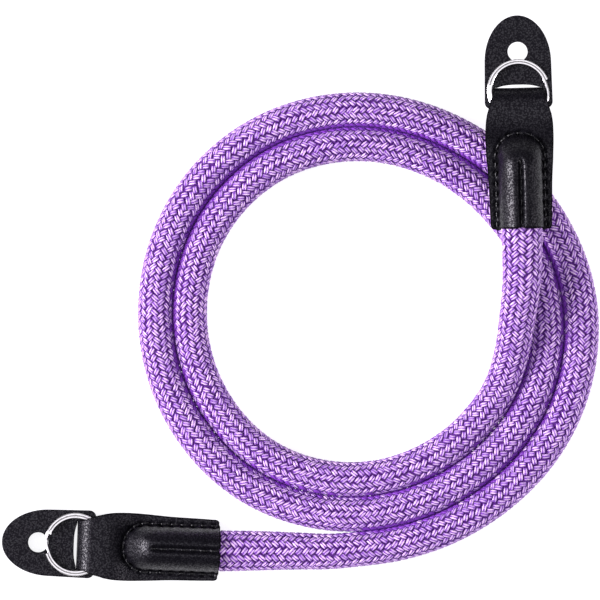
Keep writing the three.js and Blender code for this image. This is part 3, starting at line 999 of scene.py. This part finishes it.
def strip_rows(leather):
    """The strip's outside as rows of points, along the underside, round the fold and over the
    front, and the row where the front starts."""
    inset = leather.edge_round
    rows = []

    def flat_row(along, height, width_at):
        half = float(half_width_at(width_at))
        across = np.linspace(-half, half, COLUMNS)
        rows.append(np.stack([np.full(COLUMNS, along), across, np.full(COLUMNS, height)], axis=1))

    underside = np.arange(END_LENGTH - MOUTH_CORNER - 0.001, HEEL_ROUND, -0.001)
    for along in (*mouth_stations(inset)[::-1], *underside):
        flat_row(along, 0.0, along)
    for turn in np.linspace(0, math.pi / 2, 7):
        flat_row(HEEL_ROUND * (1 - math.sin(turn)), HEEL_ROUND * (1 - math.cos(turn)), 0.0)
    for turn in np.linspace(0, math.pi / 2, 10)[:-1]:
        along = FOLD_ROUND * (1 - math.cos(turn))
        flat_row(along, FOLD_TOP - FOLD_ROUND * (1 - math.sin(turn)), along)
    front_from = len(rows)
    for along in (*front_stations(leather), *mouth_stations(inset)):
        section = front_section(leather, along)
        section[:, 1] -= groove_depth_at(leather, along, section[:, 0])
        rows.append(np.stack([np.full(COLUMNS, along), section[:, 0], section[:, 1]], axis=1))
    rows = np.array(rows)
    near_mouth = smooth_step(rows[:, :, 0], 0.8 * END_LENGTH, END_LENGTH)
    rows[:, :, 0] += leather.mouth_lean * near_mouth * rows[:, :, 2] / (FRONT_TOP + leather.dome_rise)
    rows[:, :, 1] *= 1 - inset / np.abs(rows[:, -1:, 1])
    return rows, front_from


def relax(grid, first, rounds):
    """Softens a grid of points from one row on, as leather rounds off any crease."""
    for _ in range(rounds):
        soft = grid.copy()
        soft[first:-1, 1:-1] = (
            grid[first:-1, 1:-1] / 2
            + (grid[first - 1:-2, 1:-1] + grid[first + 1:, 1:-1]
               + grid[first:-1, :-2] + grid[first:-1, 2:]) / 8)
        grid = soft
    return grid


def grid_normals(grid):
    """The normals of a grid of points."""
    normal = np.cross(np.gradient(grid, axis=0), np.gradient(grid, axis=1))
    return normal / np.linalg.norm(normal, axis=2)[:, :, None]


def side_seam(leather):
    """The seam round the dome's foot, seen from above: up one side, round the nose and back."""
    last = END_LENGTH - SEAM_MARGIN
    width, full, nose = leather.dome_half_width, leather.dome_full, leather.dome_nose
    turn = np.linspace(-math.pi / 2, math.pi / 2, 60)
    arch = np.stack([full - (full - nose) * np.cos(turn), width * np.sin(turn)], axis=1)
    return np.vstack([[(last, -width)], arch, [(last, width)]])


def middle_seam(leather):
    """The seam down the groove, seen from above."""
    return np.array([(leather.groove_from + 0.0003, 0), (END_LENGTH - SEAM_MARGIN, 0)])


def seam_dents(stitch, seam, places):
    """How deep a seam pulls the leather in at some places, most at each stitch's ends."""
    line = evenly_spaced(seam, 0.2 * MM)
    deepest = np.zeros(len(places))
    gone = np.arange(len(line)) * line_length(line) / (len(line) - 1)
    pull = 0.3 + 0.7 * (0.5 + 0.5 * np.cos(2 * math.pi * gone / stitch.pitch)) ** 2
    for spot, strength in zip(line, pull):
        away = np.linalg.norm(places - spot, axis=1) / stitch.dent_width
        deepest = np.maximum(deepest, strength * np.exp(-away**2))
    return stitch.dent * deepest


def end_shell(leather, stitch):
    """The end piece's outside as a grid, with its dents, and the normals that its thickness follows."""
    grid, first = strip_rows(leather)
    grid = relax(grid, first, 3)
    normals = grid_normals(grid)
    flat = grid[:, :, :2].reshape(-1, 2)
    dents = seam_dents(stitch, side_seam(leather), flat)
    dents += seam_dents(stitch, middle_seam(leather), flat) * 0.5
    dents = dents.reshape(grid.shape[:2])
    dents[:first] *= 0.45
    waves = np.array([waviness(p, WAVE_SIZE) for p in grid.reshape(-1, 3)]).reshape(grid.shape[:2])
    waves *= smooth_step(np.arange(len(grid)), first, first + 8)[:, None]
    grid += normals * (waves * WAVE_DEPTH - dents)[:, :, None]
    return grid, grid_normals(grid)


def rim_loop(rows, columns):
    """The border of a grid as index pairs, once round."""
    loop = [(0, j) for j in range(columns)]
    loop += [(i, columns - 1) for i in range(1, rows)]
    loop += [(rows - 1, j) for j in range(columns - 2, -1, -1)]
    loop += [(i, 0) for i in range(rows - 2, 0, -1)]
    return loop


def end_mesh(leather, stitch, name, matrix, materials):
    """The folded and stitched end piece: an outside, an inside and a rounded cut edge."""
    outside, normals = end_shell(leather, stitch)
    rows, columns = outside.shape[:2]
    inside = outside - normals * leather.thickness
    points = [*outside.reshape(-1, 3), *inside.reshape(-1, 3)]
    faces = []
    for face in grid_faces(rows, columns):
        faces += [face, tuple(rows * columns + k for k in reversed(face))]
    loop = rim_loop(rows, columns)
    border = np.array([outside[i, j] for i, j in loop])
    facing = np.array([normals[i, j] for i, j in loop])
    away = np.cross(np.roll(border, -1, axis=0) - np.roll(border, 1, axis=0), facing)
    away /= np.linalg.norm(away, axis=1)[:, None]
    if (away[0] * (border[0] - outside[1, 1])).sum() < 0:
        away = -away
    rings = []
    for (i, j), outwards in zip(loop, away):
        middle = (outside[i, j] + inside[i, j]) / 2
        half = (outside[i, j] - inside[i, j]) / 2
        ring = [i * columns + j]
        for turn in np.linspace(0, math.pi, 7)[1:-1]:
            ring.append(len(points))
            rounded = outwards * (abs(math.sin(turn)) ** 0.5 * leather.edge_round)
            points.append(middle + half * np.sign(math.cos(turn)) * abs(math.cos(turn)) ** 0.5 + rounded)
        ring.append(rows * columns + i * columns + j)
        rings.append(ring)
    edge_faces = [
        (here[k], here[k + 1], after[k + 1], after[k])
        for here, after in zip(rings, rings[1:] + rings[:1]) for k in range(len(here) - 1)
    ]
    mesh = new_mesh(name, carried(matrix, points), faces + edge_faces, materials)
    for polygon in mesh.polygons[len(faces):]:
        polygon.material_index = 1
    turn_outwards(mesh)
    return mesh


# ---------------------------------------------------------------- stitching


def stitch_shape(stitch):
    """One stitch along X, a short round-ended thread that dips at both ends."""
    sides, steps = 8, 7
    half, radius = stitch.stitch / 2, stitch.thread / 2
    points, spots = [(-half, 0, -0.55 * stitch.thread)], [(0.02, 0.5)]
    for k in range(steps):
        u = -1 + 2 * (k + 0.5) / steps
        girth = radius * (1 - abs(u) ** 4) ** 0.5
        sag = -0.45 * stitch.thread * abs(u) ** 2.5
        for j in range(sides):
            angle = 2 * math.pi * j / sides
            points.append((u * half, girth * math.cos(angle), sag + girth * math.sin(angle)))
            spots.append((0.5 + 0.48 * u, 0.02 + 0.96 * j / sides))
    points.append((half, 0, -0.55 * stitch.thread))
    spots.append((0.98, 0.5))
    last = len(points) - 1
    faces = []
    for j in range(sides):
        after = (j + 1) % sides
        faces.append((0, 1 + after, 1 + j))
        for k in range(steps - 1):
            here, beside = 1 + k * sides + j, 1 + k * sides + after
            faces.append((here, beside, beside + sides, here + sides))
        faces.append((last, last - sides + j, last - sides + after))
    mesh = new_mesh("one_stitch", points, faces, [])
    put_on_map(mesh, spots)
    turn_outwards(mesh)
    return new_object("one_stitch", mesh)


def stitch_tree():
    """A tree that sets stitches end to end along a seam, turned to lie on its leather."""
    tree, given = node_group(
        "Stitched Seam", "GeometryNodeTree", Geometry="Geometry", Stitch="Object", Pitch=0.003,
        Wander=0.06, Seed=3, Material="Material")
    seam = add(tree, "GeometryNodeMeshToCurve", {"Mesh": given["Geometry"]})
    seam = add(tree, "GeometryNodeResampleCurve", {"Curve": seam, "Length": given["Pitch"]}, mode="LENGTH")
    points = add(tree, "GeometryNodeCurveToPoints", {"Curve": seam}, mode="EVALUATED")
    along = add(tree, "FunctionNodeAlignRotationToVector", {"Vector": points["Tangent"]}, axis="X")
    upright = add(tree, "GeometryNodeInputNamedAttribute", {"Name": "upright"}, data_type="FLOAT_VECTOR")
    lying = add(tree, "FunctionNodeAlignRotationToVector", {
        "Rotation": along, "Vector": upright,
    }, axis="Z", pivot_axis="X")
    lean = add(tree, "FunctionNodeRandomValue", {
        "Min": given["Wander"] * -1.0, "Max": given["Wander"], "Seed": given["Seed"],
    }, data_type="FLOAT")
    turned = add(tree, "FunctionNodeRotateRotation", {
        "Rotation": lying, "Rotate By": add(tree, "ShaderNodeCombineXYZ", {"Z": lean}),
    }, rotation_space="LOCAL")
    shape = add(tree, "GeometryNodeObjectInfo", {"Object": given["Stitch"]})["Geometry"]
    placed = add(tree, "GeometryNodeInstanceOnPoints", {
        "Points": points["Points"], "Instance": shape, "Rotation": turned,
    })
    placed = add(tree, "GeometryNodeRemoveAttribute", {"Geometry": placed, "Name": "upright"})
    return in_material(tree, given, placed)


def seam_on(surface, seam, lift, matrix, from_below):
    """A seam's line laid on a surface, with each point's upright direction."""
    placed, upright = [], []
    start, down = (-0.05, 1) if from_below else (0.05, -1)
    for x, y in evenly_spaced(seam, 0.15 * MM):
        hit, normal, _, _ = surface.ray_cast(Vector((x, y, start)), Vector((0, 0, down)))
        if hit is None:
            raise RuntimeError(f"the seam leaves the leather at {x:.4f}, {y:.4f}")
        placed.append(hit + normal * lift)
        upright.append(normal)
    turn = np.array(matrix)[:3, :3]
    return carried(matrix, placed), np.array(upright) @ turn.T


def seams_mesh(lines):
    """Seam lines as one mesh of edges that knows which way is up along them."""
    points, edges, uprights = [], [], []
    for placed, upright in lines:
        first = len(points)
        points += [tuple(p) for p in placed]
        uprights += list(upright)
        edges += [(first + k, first + k + 1) for k in range(len(placed) - 1)]
    mesh = bpy.data.meshes.new("seams")
    mesh.from_pydata(points, edges, [])
    layer = mesh.attributes.new("upright", "FLOAT_VECTOR", "POINT")
    layer.data.foreach_set("vector", np.array(uprights, np.float32).ravel())
    return mesh


# ---------------------------------------------------------------- flaps

# The size of the flap's small faces, the size and height of its waves, and how far up or down a
# face has to point to be grained leather and not cut edge.
FLAP_FACE = 0.0011
FLAP_WAVE_SIZE, FLAP_WAVE_DEPTH = 7 * MM, 0.06 * MM
GRAINED_FROM = 0.88


def arc(centre, radius_x, radius_y, start, end, count):
    """Points on an arc or a stretch of an ellipse, by degrees."""
    return [
        (centre[0] + radius_x * math.cos(a), centre[1] + radius_y * math.sin(a))
        for a in np.radians(np.linspace(start, end, count))
    ]


def flap_outlines(flap, shift):
    """The flap's outline, its hole and its slit, seen from above. The flap slides, but its slit
    stays round the folded strip."""
    corner = (flap.tail - flap.corner_radius, flap.tail_half_width - flap.corner_radius)
    rounding = (flap.corner_radius, flap.corner_radius)
    outline = arc((flap.shoulder, 0), flap.shoulder - flap.tip, flap.shoulder_half_width, 90, 270, 49)
    outline += arc((corner[0], -corner[1]), *rounding, -90, 0, 9)
    outline += arc(corner, *rounding, 0, 90, 9)
    hole = arc((flap.hole_at, 0), flap.hole_radius, flap.hole_radius, 360, 7.5, 48)
    outline, hole = ([(x + shift[0], y + shift[1]) for x, y in line] for line in (outline, hole))
    bow = [
        (flap.slit_from - flap.slit_bow * max(0.0, 1 - abs(y / flap.bow_half_length) ** 3), y)
        for y in np.linspace(-flap.slit_half_length, flap.slit_half_length, 31)
    ]
    slit = [(flap.slit_to, -flap.slit_half_length), *bow, (flap.slit_to, flap.slit_half_length)]
    return [outline, hole, slit]


def flat_flap(flap, leather, name, shift):
    """The flap lying flat at the origin, with its hole, its slit and its rounded cut edges."""
    curve = bpy.data.curves.new(name, "CURVE")
    curve.dimensions = "2D"
    curve.fill_mode = "BOTH"
    curve.extrude = leather.thickness / 2 - flap.edge_round
    curve.bevel_depth = flap.edge_round
    curve.bevel_resolution = 2
    curve.offset = -flap.edge_round
    for outline in flap_outlines(flap, shift):
        spline = curve.splines.new("POLY")
        spline.points.add(len(outline) - 1)
        for point, (x, y) in zip(spline.points, outline):
            point.co = (x, y, 0, 1)
        spline.use_cyclic_u = True
    return plain_mesh(bpy.data.objects.new(name, curve))


def flap_mesh(flap, leather, name, end, materials):
    """A leather flap where it lies, cut into small faces so that it can lie unevenly."""
    mesh = flat_flap(flap, leather, name, end["flap_shift"])
    work = bmesh.new()
    work.from_mesh(mesh)
    bmesh.ops.remove_doubles(work, verts=work.verts, dist=1e-6)
    reach = 1.2 * flap.tail_half_width
    for axis, low, high in ((0, 1.1 * flap.tip, flap.tail), (1, -reach, reach)):
        normal = Vector((axis == 0, axis == 1, 0))
        for cut in np.arange(low + 0.0006, high, FLAP_FACE):
            geometry = work.verts[:] + work.edges[:] + work.faces[:]
            bmesh.ops.bisect_plane(work, geom=geometry, plane_co=normal * cut, plane_no=normal, dist=1e-7)
    rise = flap.bottom + leather.thickness / 2
    for vertex in work.verts:
        on_edge = abs(vertex.co.z) < leather.thickness / 2 - 1e-5
        wave = waviness((vertex.co.x, vertex.co.y, 0), FLAP_WAVE_SIZE) * FLAP_WAVE_DEPTH
        vertex.co.z += rise + wave * (0.5 if on_edge else 1.0)
    matrix = end_matrix(end)
    work.transform(matrix)
    bmesh.ops.recalc_face_normals(work, faces=work.faces)
    work.to_mesh(mesh)
    work.free()
    mesh.materials.clear()
    for material in materials:
        mesh.materials.append(material)
    up = (matrix.to_3x3() @ Vector((0, 0, 1))).normalized()
    for polygon in mesh.polygons:
        polygon.material_index = 1 if abs(polygon.normal.dot(up)) < GRAINED_FROM else 0
    mesh.shade_smooth()
    return mesh


# ---------------------------------------------------------------- split rings

# The gap between a ring and the flap under it.
RING_LIFT = 0.4 * MM


def ring_tree():
    """A tree that bends a line into a split ring's two turns and gives it its wire."""
    tree, given = node_group(
        "Split Ring", "GeometryNodeTree", Geometry="Geometry", Radius=0.0087, Wire=0.001,
        Turn_Pitch=0.0011, Spread=0.0003, Step_Half_Angle=20.0, Steps=280, Sides=24,
        Material="Material")
    line = add(tree, "GeometryNodeCurvePrimitiveLine")
    line = add(tree, "GeometryNodeResampleCurve", {"Curve": line, "Count": given["Steps"]}, mode="COUNT")
    along = add(tree, "GeometryNodeSplineParameter")["Factor"]
    start = given["Step Half Angle"]
    turned = start + along * (720.0 - start * 2.0)
    climbed = turned.ranged(360.0 - start, 360.0 + start)
    radius = given["Radius"] - given["Spread"] * (climbed - 0.5)
    angle = maths("RADIANS", turned)
    bent = add(tree, "GeometryNodeSetPosition", {
        "Geometry": line,
        "Position": add(tree, "ShaderNodeCombineXYZ", {
            "X": radius * maths("COSINE", angle),
            "Y": radius * maths("SINE", angle),
            "Z": given["Turn Pitch"] * (climbed - 0.5),
        }),
    })
    bent = add(tree, "GeometryNodeSetCurveNormal", {"Curve": bent}, mode="Z_UP")
    half_wire = given["Wire"] / 2.0
    section = add(tree, "GeometryNodeCurvePrimitiveCircle", {
        "Resolution": given["Sides"], "Radius": half_wire,
    }, mode="RADIUS")
    # The wire is a little square, as rolled wire is.
    position = add(tree, "GeometryNodeInputPosition")
    spot = add(tree, "ShaderNodeSeparateXYZ", {0: position})
    cubes = [maths("POWER", maths("ABSOLUTE", spot[axis] / half_wire), 3.0) for axis in "XY"]
    squarer = maths("POWER", cubes[0] + cubes[1], -1 / 3)
    section = add(tree, "GeometryNodeSetPosition", {"Geometry": section, "Position": position * squarer})
    wire = add(tree, "GeometryNodeCurveToMesh", {"Curve": bent, "Profile Curve": section, "Fill Caps": True})
    return in_material(tree, given, wire)


def ring_mesh(ring, flap, leather, name, end, tree, material):
    """One split ring where it lies in the fold."""
    mesh = grown(name, bpy.data.meshes.new("ring_start"), tree, ring, Material=material)
    middle = flap.bottom + leather.thickness + RING_LIFT + (ring.turn_pitch + ring.wire) / 2
    turn = Matrix.Rotation(math.radians(end["ring_step"]), 4, "Z")
    mesh.transform(end_matrix(end) @ Matrix.Translation((*end["ring_at"], middle)) @ turn)
    mesh.shade_smooth()
    turn_outwards(mesh)
    return mesh


# ---------------------------------------------------------------- stage

# The key light stands on the left and the fill light on the right. The sky is dark up to the
# first height and pale from the second.
LIGHTS = {
    "key_light": {"place": (-2.04, 0.10, 1.12), "size": 1.40, "power": 106.0},
    "fill_light": {"place": (2.20, -0.60, 0.70), "size": 1.20, "power": 37.0},
}
LIGHT_TINT = rgb(251, 246, 255)
SKY_TINT = rgb(248, 245, 255)
SKY_HEIGHTS = (0.72, 0.95)
SKY_LEVELS = (0.12, 1.42)


def make_camera(scene, stage):
    """A camera straight above, far off with a long lens."""
    camera = bpy.data.objects.new("camera", bpy.data.cameras.new("camera"))
    scene.collection.objects.link(camera)
    camera.location = (stage.view_x, stage.view_y, COIL_HEIGHT + stage.view_distance)
    camera.data.lens = camera.data.sensor_width * stage.view_distance / stage.view_width
    camera.data.clip_start, camera.data.clip_end = 0.1, 100.0
    camera.data.dof.use_dof = False
    scene.camera = camera


def make_floor(stage):
    """A wide pale floor."""
    half = stage.floor_size / 2
    corners = [(-half, -half, 0), (half, -half, 0), (half, half, 0), (-half, half, 0)]
    mesh = new_mesh("floor", corners, [(0, 1, 2, 3)], [finish(pale_paper, stage)], smooth=False)
    new_object("floor", mesh)


def make_lights(scene):
    """Two broad round lights, a strong and a weak one, under a soft sky."""
    for name, values in LIGHTS.items():
        light = bpy.data.objects.new(name, bpy.data.lights.new(name, "AREA"))
        scene.collection.objects.link(light)
        light.data.shape = "DISK"
        light.data.size = values["size"]
        light.data.energy = values["power"]
        light.data.color = LIGHT_TINT[:3]
        light.location = values["place"]
        light.rotation_euler = (-Vector(values["place"])).to_track_quat("-Z", "Y").to_euler()
    world = bpy.data.worlds.new("soft_sky")
    scene.world = world
    world.use_nodes = True
    tree = world.node_tree
    upwards = add(tree, "ShaderNodeSeparateXYZ", {0: add(tree, "ShaderNodeTexCoord")["Generated"]})["Z"]
    fill(tree, tree.nodes["Background"].inputs, {
        "Color": SKY_TINT, "Strength": upwards.ranged(*SKY_HEIGHTS, *SKY_LEVELS),
    })
    scene.view_settings.view_transform = "Standard"
    scene.view_settings.look = "None"


# ---------------------------------------------------------------- operators


def leather_materials(scene):
    """The leather's face and its cut edge."""
    return [finish(grained_leather, scene.strap_leather), finish(inked_edge, scene.strap_leather)]


class StrapStage(bpy.types.Operator):
    """Makes the camera, the pale floor and the soft lights"""

    bl_idname = "strap.stage"
    bl_label = "Stage"

    def execute(self, context):
        stage = context.scene.strap_stage
        make_camera(context.scene, stage)
        make_floor(stage)
        make_lights(context.scene)
        return {"FINISHED"}


class StrapRope(bpy.types.Operator):
    """Makes the rope: its core and its braided cover"""

    bl_idname = "strap.rope"
    bl_label = "Braided Rope"

    def execute(self, context):
        rope = context.scene.strap_rope
        route = rope_route()
        core = make_core(rope, route, finish(core_yarn, rope))
        cover = make_braid(rope, route, finish(braided_yarn, rope))
        for piece in [core, *cover]:
            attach(piece, "root")
        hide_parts("rope")
        return {"FINISHED"}


class StrapEndPieces(bpy.types.Operator):
    """Makes the two folded leather end pieces"""

    bl_idname = "strap.end_pieces"
    bl_label = "Leather End Pieces"

    def execute(self, context):
        scene = context.scene
        for name, end in ENDS.items():
            mesh = end_mesh(
                scene.strap_leather, scene.strap_stitch, f"{name}_folded_leather", end_matrix(end),
                leather_materials(scene))
            piece = new_object(mesh.name, mesh)
            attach(piece, "root")
            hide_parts(f"{name}_leather")
        return {"FINISHED"}


class StrapStitching(bpy.types.Operator):
    """Sews each end piece round the rope and down its middle"""

    bl_idname = "strap.stitching"
    bl_label = "Stitching"

    def execute(self, context):
        scene = context.scene
        stitch, leather = scene.strap_stitch, scene.strap_leather
        shape, tree = stitch_shape(stitch), stitch_tree()
        outside, _ = end_shell(leather, stitch)
        faces = turned_over(grid_faces(*outside.shape[:2]))
        surface = BVHTree.FromPolygons([Vector(p) for p in outside.reshape(-1, 3)], faces)
        above, below = 0.3 * stitch.thread, -0.1 * stitch.thread
        for name, end in ENDS.items():
            lines = [
                seam_on(surface, seam, below if from_below else above, end_matrix(end), from_below)
                for seam in (side_seam(leather), middle_seam(leather)) for from_below in (False, True)
            ]
            mesh = grown(
                f"{name}_stitches", seams_mesh(lines), tree, stitch, Stitch=shape,
                Material=finish(waxed_thread, stitch))
            piece = new_object(mesh.name, mesh)
            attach(piece, "root")
        bpy.data.objects.remove(shape)
        return {"FINISHED"}


class StrapFlaps(bpy.types.Operator):
    """Makes the two protector flaps"""

    bl_idname = "strap.flaps"
    bl_label = "Protector Flaps"

    def execute(self, context):
        scene = context.scene
        for name, end in ENDS.items():
            mesh = flap_mesh(
                scene.strap_flap, scene.strap_leather, f"{name}_protector_flap", end,
                leather_materials(scene))
            piece = new_object(mesh.name, mesh)
            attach(piece, "root")
            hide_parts(f"{name}_flap")
        return {"FINISHED"}


class StrapRings(bpy.types.Operator):
    """Makes the two split rings, each of which turns in its fold"""

    bl_idname = "strap.rings"
    bl_label = "Split Rings"

    def execute(self, context):
        scene = context.scene
        tree = ring_tree()
        for name, end in ENDS.items():
            mesh = ring_mesh(
                scene.strap_ring, scene.strap_flap, scene.strap_leather, f"{name}_split_ring", end, tree,
                finish(polished_nickel, scene.strap_ring))
            piece = new_object(mesh.name, mesh)
            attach(piece, end["ring_body"])
            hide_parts(f"{name}_ring")
        return {"FINISHED"}


# ---------------------------------------------------------------- panel and registration


class StrapPanel(bpy.types.Panel):
    """Lists the strap's pieces and their sizes"""

    bl_idname = "STRAP_PT_panel"
    bl_label = "Rope Camera Strap"
    bl_space_type = "VIEW_3D"
    bl_region_type = "UI"
    bl_category = "Strap"

    def draw(self, context):
        layout = self.layout
        for operator in OPERATORS:
            layout.operator(operator.bl_idname, text=operator.bl_label)
        for title in SETTINGS:
            group = getattr(context.scene, title)
            box = layout.box()
            box.label(text=title.replace("strap_", "").title())
            for name in group.__annotations__:
                box.prop(group, name)


SETTINGS = {
    "strap_rope": StrapRopeSettings,
    "strap_leather": StrapLeatherSettings,
    "strap_stitch": StrapStitchSettings,
    "strap_ring": StrapRingSettings,
    "strap_flap": StrapFlapSettings,
    "strap_stage": StrapStageSettings,
}
OPERATORS = (StrapStage, StrapRope, StrapEndPieces, StrapStitching, StrapFlaps, StrapRings)


def register():
    """Registers the settings, the operators and the panel."""
    for title, group in SETTINGS.items():
        bpy.utils.register_class(group)
        setattr(bpy.types.Scene, title, bpy.props.PointerProperty(type=group))
    for item in (*OPERATORS, StrapPanel):
        bpy.utils.register_class(item)


def unregister():
    """Takes them away again."""
    for item in (StrapPanel, *reversed(OPERATORS)):
        bpy.utils.unregister_class(item)
    for title, group in SETTINGS.items():
        delattr(bpy.types.Scene, title)
        bpy.utils.unregister_class(group)


def main():
    """Makes the stage and then every piece of the strap."""
    register()
    for operator in OPERATORS:
        family, name = operator.bl_idname.split(".")
        getattr(getattr(bpy.ops, family), name)()


if __name__ == "__main__":
    main()
